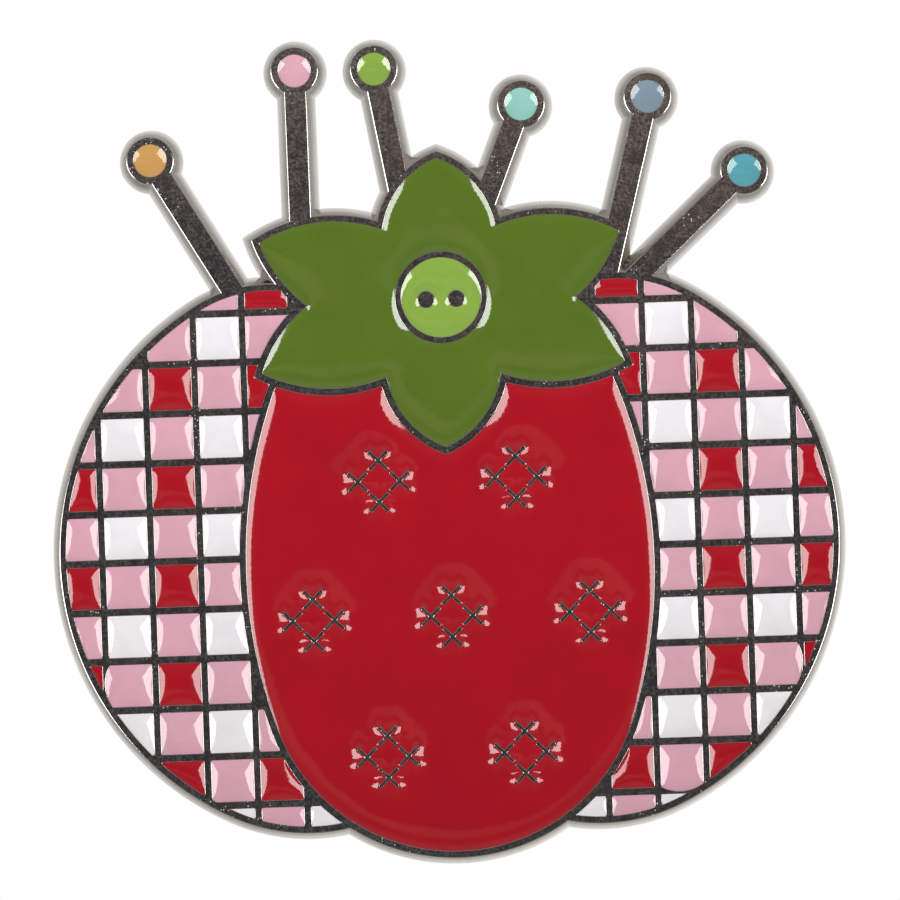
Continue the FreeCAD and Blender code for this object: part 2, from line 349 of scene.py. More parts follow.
class Sheet:
    """Points and edges on the art plane, to be triangulated."""

    def __init__(self):
        self.points, self.edges, self.labels = [], [], []

    def add(self, points, label, closed=True):
        first = len(self.points)
        count = len(points)
        self.points.extend(points.tolist())
        self.labels.extend([label] * count)
        if closed:
            self.edges.extend((first + k, first + (k + 1) % count) for k in range(count))

    def add_ring(self, loop, all_loops, distance, label, keep=None):
        """A ring beside an outline, on its right, or on its left for a negative distance. Gives the
        numbers of its points in the outline's valleys, by the outline's points."""
        normals, mitre = side_normals(loop)
        valley = closes_right(loop) == (distance > 0)
        mitre = np.where(valley, mitre, np.minimum(mitre, OUTER_MITRE))
        ring = loop + normals * mitre[:, None] * distance
        true, _ = closest(ring, all_loops, abs(distance) * RING_SEARCH)
        deep = valley & (mitre > VALLEY_MITRE)
        good = true > abs(distance) * np.where(deep, VALLEY_CLEAR, RING_CLEAR)
        if keep is not None:
            good &= keep(ring)
        ring, label = ring[good], np.where(deep, PLAIN, label)[good]
        deep = {k: len(self.points) + number for number, k in enumerate(np.nonzero(good)[0]) if deep[k]}
        if len(ring) > 2:
            gap = np.linalg.norm(np.roll(ring, -1, axis=0) - ring, axis=1)
            first = len(self.points)
            self.points.extend(ring.tolist())
            self.labels.extend(label.tolist())
            for k in range(len(ring)):
                if gap[k] < RING_GAP:
                    self.edges.append((first + k, first + (k + 1) % len(ring)))
        return deep

    def triangles(self):
        """Triangulated points, triangles counter-clockwise, and each point's largest label."""
        flat = [Vector(point) for point in self.points]
        found = geometry.delaunay_2d_cdt(flat, self.edges, [], 0, WELD, True)
        points = np.array([point[:] for point in found[0]])
        labels = np.array([max([self.labels[k] for k in given], default=PLAIN) for given in found[3]])
        triangles = np.array(found[2])
        a, b, c = (points[triangles[:, k]] for k in range(3))
        area = (b[:, 0] - a[:, 0]) * (c[:, 1] - a[:, 1]) - (b[:, 1] - a[:, 1]) * (c[:, 0] - a[:, 0])
        triangles[area < 0] = triangles[area < 0][:, ::-1]
        return points, triangles[np.abs(area) > TOUCH * TOUCH], labels


# --- mesh building ---

class Solid:
    """Collects faces in mm, with a normal at every corner, and makes one mesh object in metres."""

    def __init__(self):
        self.points, self.count, self.faces, self.normals = [], 0, [], []

    def add_points(self, flat, depth):
        """Points of the art plane at their depths; gives the number of the first."""
        first = self.count
        self.points.append(np.stack([flat[:, 0], np.broadcast_to(depth, len(flat)), flat[:, 1]], axis=1))
        self.count += len(flat)
        return first

    def all_points(self):
        return np.concatenate(self.points)

    def add_faces(self, faces, field=None, corners=None):
        """Triangles or quads by point number. corners holds a normal for every corner of the faces, field
        one for every point so far, and neither makes flat faces. A face turned far from its points' normals
        keeps its own."""
        if not len(faces):
            return
        points = self.all_points()
        a, b, c = (points[faces[:, k]] for k in range(3))
        own = np.cross(b - a, c - a) if faces.shape[1] == 3 else np.cross(c - a, points[faces[:, 3]] - b)
        own /= np.maximum(np.linalg.norm(own, axis=1), TINY)[:, None]
        corner = np.repeat(own[:, None], faces.shape[1], axis=1)
        if corners is not None:
            corner = corners
        elif field is not None:
            agrees = np.sum(field[faces] * corner, axis=2) > SAME_NORMAL
            corner = np.where(agrees[:, :, None], field[faces], corner)
        self.faces.extend(faces.tolist())
        self.normals.append(corner.reshape(-1, 3))

    def object(self, name):
        points = self.all_points()
        used = np.unique(np.concatenate([np.array(face) for face in self.faces]))
        number = np.zeros(len(points), np.int64)
        number[used] = np.arange(len(used))
        faces = [[int(number[k]) for k in face] for face in self.faces]
        mesh = bpy.data.meshes.new(name)
        mesh.from_pydata((points[used] * MM).tolist(), [], faces)
        mesh.polygons.foreach_set("use_smooth", [True] * len(faces))
        mesh.normals_split_custom_set(np.concatenate(self.normals).tolist())
        obj = bpy.data.objects.new(name, mesh)
        bpy.context.scene.collection.objects.link(obj)
        return obj


def unit(vectors):
    return vectors / np.maximum(np.linalg.norm(vectors, axis=1), TINY)[:, None]


# --- the plate ---

def edge_profile(distance):
    """Depth below the face and normal's turn at a distance outside the face's outline."""
    turn = np.arcsin(np.clip(distance / EDGE_ROUND, 0, math.sin(EDGE_TURN)))
    rounded = EDGE_ROUND * (1 - np.cos(turn))
    share = np.clip((distance - EDGE_WIDTH) / (FLANK_END - EDGE_WIDTH), 0, 1)
    fall = 1 - (1 - share) ** (1 / FLANK_CURVE)
    height = PLATE_BACK - FACE - EDGE_ROUND * (1 - math.cos(EDGE_TURN))
    left = np.maximum(1 - share, STEEPEST_SHARE)
    steep = height / (FLANK_END - EDGE_WIDTH) / FLANK_CURVE * left ** (1 / FLANK_CURVE - 1)
    turn = np.where(share > 0, np.arctan(steep), turn)
    return rounded + fall * height, turn


def front_sheet(pockets, face_loop, back_loop):
    """The front's outlines, with rings of points beside them where the metal turns."""
    sheet = Sheet()
    sheet.add(back_loop, RIM)
    sheet.add(face_loop, PLAIN)
    for loop in pockets:
        sheet.add(loop, PLAIN)
        for angle in LINE_RING_ANGLES:
            sheet.add_ring(loop, pockets, LINE_ROUND * (1 - math.cos(math.radians(angle))), PLAIN)
    edge_rings = [EDGE_ROUND * math.sin(math.radians(angle)) for angle in EDGE_RING_ANGLES] + [EDGE_WIDTH]
    flank_rings = [EDGE_WIDTH + (FLANK_END - EDGE_WIDTH) * share for share in FLANK_RINGS]
    # a valley's points are joined from ring to ring, so that no triangle bridges the valley
    valleys = {k: len(back_loop) + k for k in range(len(face_loop))}
    for out in edge_rings + flank_rings:
        deeper = sheet.add_ring(face_loop, [face_loop], out, out)
        sheet.edges.extend((valleys[k], number) for k, number in deeper.items())
        valleys.update(deeper)
    return sheet


def line_tops(flat, pockets):
    """Depths and normals of the raised lines, rounded by distance to the pockets."""
    to_pocket, from_pocket = closest(flat, pockets, LINE_ROUND)
    lean = (LINE_ROUND - to_pocket) / LINE_ROUND
    rise = np.sqrt(1 - lean ** 2)
    normal = np.stack([-from_pocket[:, 0] * lean, -rise, -from_pocket[:, 1] * lean], axis=1)
    return FACE + LINE_ROUND * (1 - rise), unit(normal)


def leaning(way, own_way, turn):
    """Normals turned away from the face's outline, on the face's own side where two side walls meet."""
    agrees = np.sum(way * own_way, axis=2, keepdims=True) > SAME_WAY
    way = np.where(agrees, way, own_way)
    lean = np.sin(turn)
    return np.stack([way[:, :, 0] * lean, -np.cos(turn), way[:, :, 1] * lean], axis=2)


def wall_quads(borders, low, high):
    """Faces along directed edges, between two layers of the same flat points."""
    start, end = borders.T
    return np.stack([start + low, end + low, end + high, start + high], axis=1)


def plate_front(solid, pockets, face_loop, back_loop):
    """Line tops, pocket walls and floors, and the side wall. Gives the flat points, the number of the first
    and the loops round them."""
    flat, triangles, labels = front_sheet(pockets, face_loop, back_loop).triangles()
    centres = flat[triangles].mean(axis=1)
    kept = inside(centres, [back_loop])
    triangles, centres = triangles[kept], centres[kept]
    in_pocket = inside(centres, pockets)
    metal, fill = triangles[~in_pocket], triangles[in_pocket]

    depth, normal = line_tops(flat, pockets)
    to_face, from_face = closest(flat, [face_loop], FAR)
    outer = ~inside(flat, [face_loop]) & (to_face > ON_OUTLINE)
    drop, turn = edge_profile(np.where(labels > 0, np.minimum(labels, to_face), to_face))
    drop = np.where(labels == RIM, PLATE_BACK - FACE, drop)
    first = solid.add_points(flat, np.where(outer, FACE + drop, depth))
    floor = solid.add_points(flat, POCKET_FLOOR)

    own_way = closest(centres[~in_pocket], [face_loop], FAR)[1][:, None]
    outer_corners = leaning(from_face[metal], own_way, turn[metal])
    solid.add_faces(metal + first, corners=np.where(outer[metal][:, :, None], outer_corners, normal[metal]))
    solid.add_faces(fill + floor)
    solid.add_faces(wall_quads(np.array(open_edges(fill))[:, ::-1], floor, first))
    return flat, first, chained(open_edges(triangles))


def back_sheet(rim_points, field_loop, seat_loop, seat_radius):
    """The back's outlines, with rings of points on the field's edge and a grid on the field."""
    sheet = Sheet()
    sheet.add(rim_points, RIM)
    sheet.add(field_loop, PLAIN)
    for share in SLOPE_RINGS:
        sheet.add_ring(field_loop, [field_loop], FIELD_SLOPE * share, PLAIN)
    sheet.add(seat_loop, PLAIN)
    sheet.add(seat_loop * (1 + FIELD_SLOPE / seat_radius), PLAIN)
    grid = grid_inside([field_loop], FIELD_GRID, FIELD_GRID)
    sheet.add(grid[np.hypot(*grid.T) > seat_radius + FIELD_GRID], PLAIN, closed=False)
    return sheet


def back_depth(points, field_loop, seat_radius):
    """Depths of the flat rim, the field's drafted edge, the uneven field and the magnet's seat."""
    field_floor = PLATE_BACK - BACK_FIELD_DEPTH
    within = inside(points, [field_loop])
    to_field, _ = closest(points, [field_loop], FAR)
    slope = np.clip(np.where(within, 0, to_field) / FIELD_SLOPE, 0, 1)
    long = waves(points, FIELD_LONG_WAVE, FIELD_SEED)
    short = waves(points, FIELD_SHORT_WAVE, FIELD_SEED + 2)
    wave = FIELD_WAVE * (long + 0.5 * short) * np.clip(to_field - FIELD_SLOPE, 0, 1)
    depth = np.where(slope < 1, field_floor + BACK_FIELD_DEPTH * slope ** 2 * (3 - 2 * slope), PLATE_BACK)
    depth = np.where(within, field_floor + wave, depth)
    return np.where(np.hypot(*points.T) < seat_radius + FIELD_SLOPE / 2, SEAT_FLOOR, depth)


def plate_back(solid, flat, first, rim):
    """The back, sewn to the side wall. rim numbers the flat points of the back edge."""
    rim_points = flat[rim]
    field_loop = refined(min(level_loops("base_plate", PLATE_BACK, 1), key=signed_area)[::-1], BACK_STEP)
    seat_loop = refined(level_loops("base_plate", SEAT_FLOOR, 1)[0], BACK_STEP)
    seat_radius = np.hypot(*seat_loop[0])
    points, triangles, labels = back_sheet(rim_points, field_loop, seat_loop, seat_radius).triangles()
    triangles = triangles[inside(points[triangles].mean(axis=1), [rim_points])]
    start = solid.add_points(points, back_depth(points, field_loop, seat_radius))
    number = np.arange(len(points)) + start
    # the rim's points are shared with the side wall
    tree = KDTree(len(rim))
    for k, point in enumerate(rim_points):
        tree.insert((point[0], point[1], 0.0), k)
    tree.balance()
    for k in np.nonzero(labels == RIM)[0]:
        _, nearest, gap = tree.find((points[k][0], points[k][1], 0.0))
        if gap < NEAR_RIM:
            number[k] = rim[nearest] + first
    faces = number[triangles[:, ::-1]]
    solid.add_faces(faces, smooth_field(solid.all_points(), faces))


def smooth_field(points, faces):
    """Area-weighted normals at the points of some triangles."""
    a, b, c = (points[faces[:, k]] for k in range(3))
    own = np.cross(b - a, c - a)
    field = np.zeros((len(points), 3))
    for k in range(3):
        np.add.at(field, faces[:, k], own)
    return unit(field)


def waves(points, length, seed):
    """Smooth, repeatable unevenness between about -1 and 1."""
    total = np.zeros(len(points))
    dice = np.random.default_rng(seed)
    for angle, shift in dice.random((WAVE_COUNT, 2)) * 2 * math.pi:
        along = points[:, 0] * math.cos(angle) + points[:, 1] * math.sin(angle)
        total += np.sin(along * 2 * math.pi / length + shift)
    return total / WAVE_PEAK


def grid_inside(loops, pitch, clearance):
    """Points of a staggered grid inside the outlines, clear of them."""
    every = np.concatenate(loops)
    low, high = every.min(0), every.max(0)
    rows = []
    for k, y in enumerate(np.arange(low[1], high[1], pitch * math.sqrt(0.75))):
        x = np.arange(low[0] + (k % 2) * pitch / 2, high[0], pitch)
        rows.append(np.stack([x, np.full(len(x), y)], axis=1))
    points = np.concatenate(rows)
    points = points[inside(points, loops)]
    return points[closest(points, loops, clearance)[0] >= clearance]


pocket_loops = {name: [refined(loop) for loop in level_loops(name, CAD_ENAMEL)] for name in ENAMEL_NODES}


def plate():
    pockets = [loop for loops in pocket_loops.values() for loop in loops]
    face_loop = refined(max(level_loops("base_plate", FACE), key=signed_area))
    back_loop = refined(max(level_loops("base_plate", PLATE_BACK, 1), key=signed_area), BACK_STEP)
    solid = Solid()
    flat, first, rims = plate_front(solid, pockets, face_loop, back_loop)
    plate_back(solid, flat, first, max(rims, key=len))
    return solid.object("nickel_plate")


# --- enamel ---

def edge_weights(points, triangles):
    """The triangles' edges as starts, ends and weights for a curvature, and the area round each point."""
    a, b, c = (points[triangles[:, k]] for k in range(3))
    area = np.abs((b[:, 0] - a[:, 0]) * (c[:, 1] - a[:, 1]) - (b[:, 1] - a[:, 1]) * (c[:, 0] - a[:, 0])) / 2
    around = sum(np.bincount(triangles[:, k], area / 3, len(points)) for k in range(3))
    start, end, weight = [], [], []
    for k in range(3):
        i, j, opposite = (triangles[:, (k + n) % 3] for n in range(3))
        u, v = points[i] - points[opposite], points[j] - points[opposite]
        start.append(i)
        end.append(j)
        weight.append(np.maximum(np.sum(u * v, axis=1) / (4 * area), 0))
    return np.concatenate(start), np.concatenate(end), np.concatenate(weight), around


def meniscus(points, triangles, edge, reach):
    """1 at the walls falling to 0 far from them, as a liquid's surface does: the height whose curvature
    is in proportion to itself. Solved over the triangles by conjugate gradients."""
    start, end, weight, around = edge_weights(points, triangles)
    mass = around / reach ** 2

    def applied(x):
        flow = weight * (x[start] - x[end])
        return mass * x + np.bincount(start, flow, len(x)) - np.bincount(end, flow, len(x))

    height = edge.astype(float)
    free = ~edge
    scale = mass + np.bincount(start, weight, len(points)) + np.bincount(end, weight, len(points))
    rest = np.where(free, -applied(height), 0)
    step = rest / scale
    product = rest @ step
    for _ in range(SOLVER_STEPS):
        moved = np.where(free, applied(step), 0)
        size = product / max(step @ moved, STILL)
        height = height + size * step
        rest = rest - size * moved
        better = rest / scale
        last, product = product, rest @ better
        if product < SOLVED:
            break
        step = better + product / last * step
    return height


def enamel(name, loops, seed):
    """Cured enamel that climbs the pocket's walls, down to the pocket's floor."""
    sheet = Sheet()
    for loop in loops:
        sheet.add(loop, PLAIN)
        for distance in ENAMEL_RINGS:
            sheet.add_ring(loop, loops, -distance, PLAIN, lambda ring: inside(ring, loops))
    sheet.add(grid_inside(loops, ENAMEL_GRID, ENAMEL_RINGS[-1] + ENAMEL_GRID / 2), PLAIN, closed=False)
    points, triangles, _ = sheet.triangles()
    triangles = triangles[inside(points[triangles].mean(axis=1), loops)]
    borders = np.array(open_edges(triangles))
    edge = np.zeros(len(points), bool)
    edge[borders.ravel()] = True
    kind = name.split("_")[1]
    reach, fall = MENISCUS.get(kind, MENISCUS["cell"])
    rise = meniscus(points, triangles, edge, reach)
    level = sum(waves(points, length, seed + k) * high for k, (length, high) in enumerate(ENAMEL_WAVES))
    solid = Solid()
    top = solid.add_points(points, FACE + MENISCUS_EDGE + (fall + level) * (1 - rise))
    bottom = solid.add_points(points, POCKET_FLOOR)
    faces = triangles + top
    solid.add_faces(faces, smooth_field(solid.all_points(), faces))
    solid.add_faces(triangles[:, ::-1] + bottom)
    solid.add_faces(wall_quads(borders, bottom, top))
    return solid.object(name)


# --- magnets and adhesive ---

def turned(name, profile):
    """A solid turned about the magnets' axis from (radius, depth) points, from the axis to the axis."""
    solid = Solid()
    angle = np.linspace(0, 2 * math.pi, TURNED_SIDES, endpoint=False)
    circle = np.stack([np.cos(angle), np.sin(angle)], axis=1)
    rings = [solid.add_points(circle * radius, depth) for radius, depth in profile[1:-1]]
    poles = [solid.add_points(np.zeros((1, 2)), profile[k][1]) for k in (0, -1)]
    field = lathe_field(solid.count, np.array(profile), rings, poles, angle)
    number = np.arange(TURNED_SIDES)
    onward = (number + 1) % TURNED_SIDES
    for here, there in zip(rings, rings[1:]):
        quads = np.stack([number + here, number + there, onward + there, onward + here], axis=1)
        solid.add_faces(quads, field)
    for pole, ring, turn in ((poles[0], rings[0], 1), (poles[1], rings[-1], -1)):
        fan = np.stack([np.full(TURNED_SIDES, pole), number + ring, onward + ring], axis=1)
        solid.add_faces(fan[:, ::turn], field)
    return solid.object(name)


def lathe_field(count, profile, rings, poles, angle):
    """Normals of a turned solid's points, smooth along its profile."""
    way = np.roll(profile, -1, axis=0)[:-1] - profile[:-1]
    normal = unit(np.stack([way[:, 1], -way[:, 0]], axis=1))
    at = unit(np.concatenate([normal[:1], normal[:-1] + normal[1:], normal[-1:]]))
    field = np.zeros((count, 3))
    for ring, (out, deep) in zip(rings, at[1:-1]):
        round_ring = [out * np.cos(angle), np.full(len(angle), deep), out * np.sin(angle)]
        field[ring:ring + len(angle)] = np.stack(round_ring, axis=1)
    for pole, (_, deep) in zip(poles, (at[0], at[-1])):
        field[pole] = (0.0, deep, 0.0)
    return field


def quarter_turn(points):
    """Angles of a quarter circle, from 0 to 90 degrees."""
    return np.radians(np.linspace(0, 90, points))


def magnet_profile(node):
    low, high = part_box(node)
    radius, near, far = high.x / MM, low.y / MM, high.y / MM
    face = [(0.0, near), (radius / 2, near), (radius - MAGNET_ROUND * 1.6, near)]
    edge = [
        (radius - MAGNET_ROUND * (1 - math.sin(turn)), near + MAGNET_ROUND * (1 - math.cos(turn)))
        for turn in quarter_turn(7)
    ]
    half = face + edge
    return half + [(out, near + far - deep) for out, deep in reversed(half)]


def adhesive_profile():
    """A film under the magnet, and a bead that sweeps up from the plate to the magnet's side."""
    low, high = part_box("magnet_adhesive")
    radius, near, far = high.x / MM, low.y / MM, high.y / MM
    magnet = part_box("fixed_magnet")[1].x / MM
    film = near + GLUE_FILM
    bead = [
        (magnet + (radius - magnet) * math.sin(turn), far - (far - film) * BEAD_FALL * math.sin(turn) ** 2)
        for turn in quarter_turn(6)
    ]
    seat = [(0.0, near), (radius / 2, near), (radius, near)]
    tip = [(magnet - BEAD_TIP, far - 3 * BEAD_TIP)]
    under = [(magnet - GLUE_INSET, film), (magnet / 2, film), (0.0, film)]
    return seat + bead[::-1] + tip + under


# --- node trees ---

class Nodes:
    """A node tree under construction."""

    def __init__(self, tree):
        self.tree = tree
        tree.nodes.clear()

    def plug(self, socket, value):
        """A socket linked to another, or set to a value."""
        if isinstance(value, bpy.types.NodeSocket):
            self.tree.links.new(value, socket)
        else:
            socket.default_value = value

    def node(self, kind, inputs=(), **settings):
        node = self.tree.nodes.new(kind)
        for key, value in settings.items():
            setattr(node, key, value)
        for key, value in dict(inputs).items():
            self.plug(node.inputs[key], value)
        return node

    def spread(self, value, low, high, to_low=0.0, to_high=1.0, **settings):
        """The value from low to high mapped to another span, clamped."""
        inputs = {"Value": value, "From Min": low, "From Max": high, "To Min": to_low, "To Max": to_high}
        return self.node("ShaderNodeMapRange", inputs, **settings).outputs["Result"]

    def fade(self, value, start, end):
        """0 at start and 1 at end, with a soft turn at both."""
        return self.spread(value, start, end, interpolation_type="SMOOTHSTEP")

    def sum(self, a, b):
        return self.node("ShaderNodeMath", {0: a, 1: b}).outputs[0]

    def product(self, a, b):
        return self.node("ShaderNodeMath", {0: a, 1: b}, operation="MULTIPLY").outputs[0]

    def blend(self, share, first, second):
        """A colour between two, by a share of 0 to 1."""
        node = self.node("ShaderNodeMix", data_type="RGBA")
        for name, kind, value in (("Factor", "VALUE", share), ("A", "RGBA", first), ("B", "RGBA", second)):
            self.plug(next(i for i in node.inputs if i.name == name and i.type == kind), value)
        return next(o for o in node.outputs if o.type == "RGBA")


# --- materials ---

class Shader(Nodes):
    """A material under construction. Its patterns are placed in mm of the object's own space."""

    def __init__(self, name):
        self.material = bpy.data.materials.new(name)
        self.material.use_nodes = True
        super().__init__(self.material.node_tree)
        self.coordinates = self.node("ShaderNodeTexCoord").outputs
        scale = {"Vector": self.coordinates["Object"], "Scale": (1 / MM,) * 3}
        self.place = self.node("ShaderNodeMapping", scale).outputs["Vector"]
        self.surface = self.node("ShaderNodeBsdfPrincipled")
        self.node("ShaderNodeOutputMaterial", {"Surface": self.surface.outputs["BSDF"]})

    def noise(self, size, detail=2.0, roughness=0.5, stretch=(1, 1, 1)):
        """Noise whose features are about this size in mm."""
        place = self.node("ShaderNodeMapping", {"Vector": self.place, "Scale": stretch}).outputs["Vector"]
        inputs = {"Vector": place, "Scale": 1 / size, "Detail": detail, "Roughness": roughness}
        return self.node("ShaderNodeTexNoise", inputs).outputs["Fac"]

    def bent_place(self, size, amount):
        """Place shifted by up to about this amount, uneven over this size, both in mm."""
        noise = self.node("ShaderNodeTexNoise", {"Vector": self.place, "Scale": 1 / size}).outputs["Color"]
        shift = self.node("ShaderNodeVectorMath", {0: noise, "Scale": amount}, operation="SCALE")
        moved = self.node("ShaderNodeVectorMath", {0: self.place, 1: shift.outputs["Vector"]})
        return moved.outputs["Vector"]

    def bump(self, height, distance, under=None):
        """Bump from a height of 0 to 1, scaled to a distance in mm."""
        inputs = {"Height": height, "Distance": distance * MM, "Strength": 1.0}
        if under is not None:
            inputs["Normal"] = under
        return self.node("ShaderNodeBump", inputs).outputs["Normal"]

    def finish(self, **inputs):
        for key, value in inputs.items():
            self.plug(self.surface.inputs[key.replace("_", " ")], value)
        return self.material


def linear(red, green, blue):
    """A display colour of 0 to 255 as the linear colour a shader takes."""
    parts = [part / 255 for part in (red, green, blue)]
    return tuple(c / 12.92 if c < 0.04045 else ((c + 0.055) / 1.055) ** 2.4 for c in parts) + (1.0,)


def scaled(colour, factor):
    return tuple(c * factor for c in colour[:3]) + (1.0,)


def worn_specks(s):
    """Small bright specks where the plating is rubbed, gathered in patches."""
    cells = s.node("ShaderNodeTexVoronoi", {"Vector": s.bent_place(0.12, 0.09), "Scale": 1 / SPECK_PITCH})
    spot = s.spread(cells.outputs["Distance"], 0.22, 0.36, 1.0, 0.0)
    draw = s.node("ShaderNodeSeparateColor", {"Color": cells.outputs["Color"]}).outputs[0]
    chosen = s.spread(draw, 0.8, 0.82)
    patch = s.spread(s.noise(3.1, 1.0), 0.56, 0.62)
    return s.product(s.product(spot, chosen), patch)


def plated_metal():
    """Nickel plate over a struck die: nearly mirror bright, with fine pitting, stains and worn specks. The
    struck tops that face the front are painted with reflection in place of the side walls' plain nickel: a
    bluish-black and bright mottle with brown patches."""
    s = Shader("polished_nickel")
    facing = s.node("ShaderNodeSeparateXYZ", {"Vector": s.coordinates["Normal"]}).outputs["Y"]
    # the surfaces that face the front, the struck tops, which take the painted reflection
    top = s.spread(facing, -0.995, -0.9, 1.0, 0.0)
    # real stains on the walls; the same noise also places the painted brown reflection on the tops
    stain_and_brown_reflection = s.spread(s.noise(3.4, 3.0), 0.42, 0.66)
    fine = s.noise(0.17, 4.0, 0.7)
    coarse = s.noise(0.5, 3.0, 0.6)
    bright = s.blend(stain_and_brown_reflection, NICKEL["clean"], NICKEL["stained"])
    # painted reflection for the tops: a bluish-black and bright mottle with brown patches, standing in for
    # the dark and brown surroundings that they mirror
    painted_reflection_mottle = s.blend(s.spread(fine, 0.4, 0.64), NICKEL["pit"], NICKEL["struck"])
    painted_reflection_mottle = s.blend(s.spread(coarse, 0.46, 0.6, 0, 0.75), painted_reflection_mottle, NICKEL["painted_reflection_mottle"])
    painted_reflection_mottle = s.blend(s.product(stain_and_brown_reflection, 0.3), painted_reflection_mottle, NICKEL["brown"])
    # the front-facing tops take the painted reflection in place of the plain nickel
    colour = s.blend(s.product(top, 0.9), bright, painted_reflection_mottle)
    colour = s.blend(s.spread(fine, 0.45, 0.72, 0, 0.35), colour, NICKEL["dull"])
    worn = worn_specks(s)
    colour = s.blend(s.product(worn, 0.8), colour, NICKEL["worn"])
    rough = s.sum(s.spread(fine, 0.35, 0.75, 0.07, 0.16), s.product(worn, 0.45))
    return s.finish(Base_Color=colour, Metallic=1.0, Roughness=rough, Normal=s.bump(fine, 0.003))


def enamel_paint(name, colour):
    """Glossy cured enamel: even pigment with faint clouds and settled dust, and a softly rippled skin."""
    s = Shader(name)
    base = linear(*colour)
    cloud = s.noise(2.1, 3.0, 0.55)
    mottled = s.blend(s.spread(cloud, 0.3, 0.7), scaled(base, 0.95), scaled(base, 1.05))
    dust = s.spread(s.noise(0.19, 1.0), 0.74, 0.8, 0, 0.22)
    mottled = s.blend(dust, mottled, scaled(base, 0.72))
    rough = s.spread(s.noise(0.8, 2.0), 0.3, 0.7, 0.05, 0.09)
    skin = s.bump(s.noise(0.8, 1.5), 0.002)
    bending = GLOSSY_IOR if name in GLOSSIER else ENAMEL_IOR
    return s.finish(Base_Color=mottled, Roughness=rough, Normal=skin, IOR=bending)


def magnet_plating():
    """Bright nickel on a sintered magnet: slight orange peel, fine hairline rubs and darker pits."""
    s = Shader("magnet_nickel")
    rub = s.noise(0.25, 3.0, 0.6, (1.0, 1.0, 14.0))
    cloud = s.noise(1.6, 3.0)
    colour = s.blend(s.spread(cloud, 0.35, 0.7), (0.66, 0.645, 0.62, 1), (0.58, 0.56, 0.53, 1))
    pit = s.spread(s.noise(0.14, 1.0), 0.72, 0.78)
    colour = s.blend(pit, colour, (0.3, 0.29, 0.28, 1))
    rough = s.sum(s.spread(rub, 0.3, 0.7, 0.12, 0.24), s.product(pit, 0.3))
    skin = s.bump(rub, 0.0015, s.bump(s.noise(0.35, 2.0), 0.004))
    return s.finish(Base_Color=colour, Metallic=1.0, Roughness=rough, Normal=skin)


def clear_glue():
    """Cured clear glue, slightly yellow, with a wavy skin."""
    s = Shader("cured_glue")
    wave = s.noise(0.7, 2.0)
    colour = s.blend(wave, (0.86, 0.83, 0.72, 1), (0.93, 0.91, 0.84, 1))
    rough = s.spread(s.noise(0.3, 2.0), 0.3, 0.7, 0.12, 0.3)
    skin = s.bump(wave, 0.02)
    return s.finish(Base_Color=colour, Roughness=rough, IOR=1.48, Transmission_Weight=0.65, Normal=skin)


def pale_floor():
    s = Shader("pale_floor")
    grain = s.noise(30.0, 3.0)
    colour = s.blend(grain, (0.93, 0.93, 0.93, 1), (0.97, 0.97, 0.965, 1))
    return s.finish(Base_Color=colour, Roughness=0.7)


# --- camera, light and floor ---

def camera():
    data = bpy.data.cameras.new("camera")
    data.lens, data.sensor_width = LENS, SENSOR
    data.clip_start, data.clip_end = 0.01, 10.0
    eye = bpy.data.objects.new("camera", data)
    eye.location = (AIM_X * MM, (FACE - CAMERA_AWAY) * MM, AIM_Z * MM)
    forward = Vector((0, 1, 0)).to_track_quat("-Z", "Z")
    eye.rotation_mode = "QUATERNION"
    eye.rotation_quaternion = forward @ Quaternion((0, 0, 1), ROLL)
    bpy.context.scene.collection.objects.link(eye)
    bpy.context.scene.camera = eye


def softbox(name, side):
    """A rectangular light facing the badge, on its right for a side of 1 and on its left for -1."""
    data = bpy.data.lights.new(name, "AREA")
    data.shape, data.size, data.size_y = "RECTANGLE", SOFTBOX_WIDTH, SOFTBOX_HEIGHT
    data.energy = SOFTBOX_RADIANCE * math.pi * SOFTBOX_WIDTH * SOFTBOX_HEIGHT
    lamp = bpy.data.objects.new(name, data)
    a, e = SOFTBOX_ASIDE, SOFTBOX_UP
    way = Vector((side * math.sin(a) * math.cos(e), -math.cos(a), math.sin(a) * math.sin(e)))
    lamp.location = way * SOFTBOX_AWAY + Vector((0, 0, AIM_Z * MM))
    lamp.rotation_mode = "QUATERNION"
    lamp.rotation_quaternion = (-way).to_track_quat("-Z", "Z")
    bpy.context.scene.collection.objects.link(lamp)


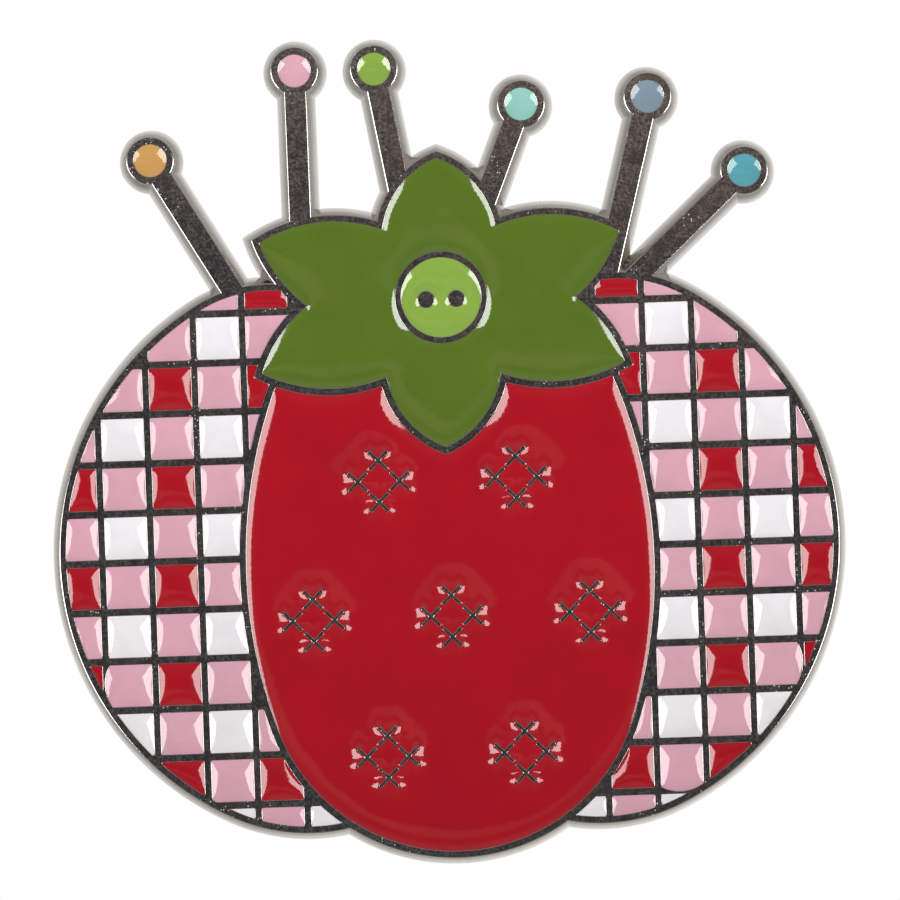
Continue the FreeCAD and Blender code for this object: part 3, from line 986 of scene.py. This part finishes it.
def surroundings(n):
    """What the badge mirrors, by direction: y is -1 on the camera's side and 1 behind the badge."""
    way = n.node("ShaderNodeTexCoord").outputs["Generated"]
    x, y, z = n.node("ShaderNodeSeparateXYZ", {"Vector": way}).outputs
    ramp = n.node("ShaderNodeValToRGB", {"Fac": n.spread(y, -1.0, 1.0)})
    stops = ramp.color_ramp.elements
    stops[0].position, stops[0].color = 0.0, ROOM["front"]
    stops[1].position, stops[1].color = 1.0, ROOM["behind"]
    for at, level in ROOM_LEVELS:
        stops.new(at).color = (level, level * 0.985, level * 0.96, 1)
    # brown things in front, just above level
    lean = n.node("ShaderNodeVectorMath", {0: way, 1: (0.1, 0.0, 1.0)}, operation="DOT_PRODUCT")
    upward = lean.outputs["Value"]
    front = n.product(n.fade(y, -0.3, -0.9), n.fade(z, 0.28, 0.12))
    brown = n.blend(n.fade(x, -0.02, 0.03), ROOM["brown_left"], ROOM["brown_right"])
    colour = n.blend(n.product(n.fade(upward, 0.046, 0.074), front), ramp.outputs["Color"], brown)
    # a darker ceiling on the camera's side
    ceiling = n.product(n.fade(z, 0.3, 0.65), n.fade(y, 0.1, -0.2))
    colour = n.blend(ceiling, colour, ROOM["ceiling"])
    # uneven light from behind, weaker on the left
    uneven = n.node("ShaderNodeTexNoise", {"Vector": way, "Scale": 4.0, "Detail": 3.0}).outputs["Fac"]
    left = n.sum(n.fade(x, 0.3, -0.3), n.fade(uneven, 0.35, 0.65))
    strength = n.spread(n.product(left, n.fade(y, 0.2, 0.5)), 0.0, 2.0, 1.0, 0.74)
    return n.node("ShaderNodeBackground", {"Color": colour, "Strength": strength})


def studio():
    """Surroundings for light and reflections, a white backdrop for the camera, and two softboxes."""
    world = bpy.data.worlds.new("studio")
    bpy.context.scene.world = world
    world.use_nodes = True
    n = Nodes(world.node_tree)
    around = surroundings(n)
    backdrop = n.node("ShaderNodeBackground", {"Color": (1, 1, 1, 1), "Strength": 1.0})
    seen = n.node("ShaderNodeLightPath").outputs["Is Camera Ray"]
    mix = n.node("ShaderNodeMixShader", {0: seen, 1: around.outputs[0], 2: backdrop.outputs[0]})
    n.node("ShaderNodeOutputWorld", {"Surface": mix.outputs[0]})
    softbox("softbox_left", -1)
    softbox("softbox_right", 1)


def floor():
    data = bpy.data.meshes.new("floor")
    angles = np.linspace(0, 2 * math.pi, FLOOR_SIDES, endpoint=False)
    points = [(FLOOR_RADIUS * math.cos(a), FLOOR_RADIUS * math.sin(a), FLOOR_HEIGHT) for a in angles]
    data.from_pydata(points, [], [list(range(FLOOR_SIDES))])
    obj = bpy.data.objects.new("floor", data)
    bpy.context.scene.collection.objects.link(obj)
    data.materials.append(pale_floor())
    obj.visible_glossy = False


# --- the object ---

def placed(piece, node, material, body="badge"):
    piece.data.materials.append(material)
    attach(piece, body)
    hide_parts(node)


def enamel_slot(node):
    """An enamel node's colour, from its name."""
    last = node.split("_")[-1]
    if node.startswith("enamel_pin_"):
        return "enamel_" + last
    return {
        "strawberry": "enamel_red",
        "leaf": "enamel_leaf_green",
        "button": "enamel_lime",
        "red": "enamel_red",
        "pink": "enamel_pink",
        "white": "enamel_white",
    }[last]


camera()
studio()
floor()
bpy.context.scene.view_settings.view_transform = "Standard"
paints = {slot: enamel_paint(slot, colour) for slot, colour in ENAMELS.items()}
placed(plate(), "base_plate", plated_metal())
for number, node in enumerate(ENAMEL_NODES):
    piece = enamel(node.replace("enamel_", "fill_"), pocket_loops[node], number * SEED_STEP)
    placed(piece, node, paints[enamel_slot(node)])
plating = magnet_plating()
fixed = turned("disc_magnet", magnet_profile("fixed_magnet"))
loose = turned("loose_magnet", magnet_profile("keeper_magnet"))
placed(fixed, "fixed_magnet", plating)
placed(loose, "keeper_magnet", plating, "keeper")
placed(turned("glue_bead", adhesive_profile()), "magnet_adhesive", clear_glue())
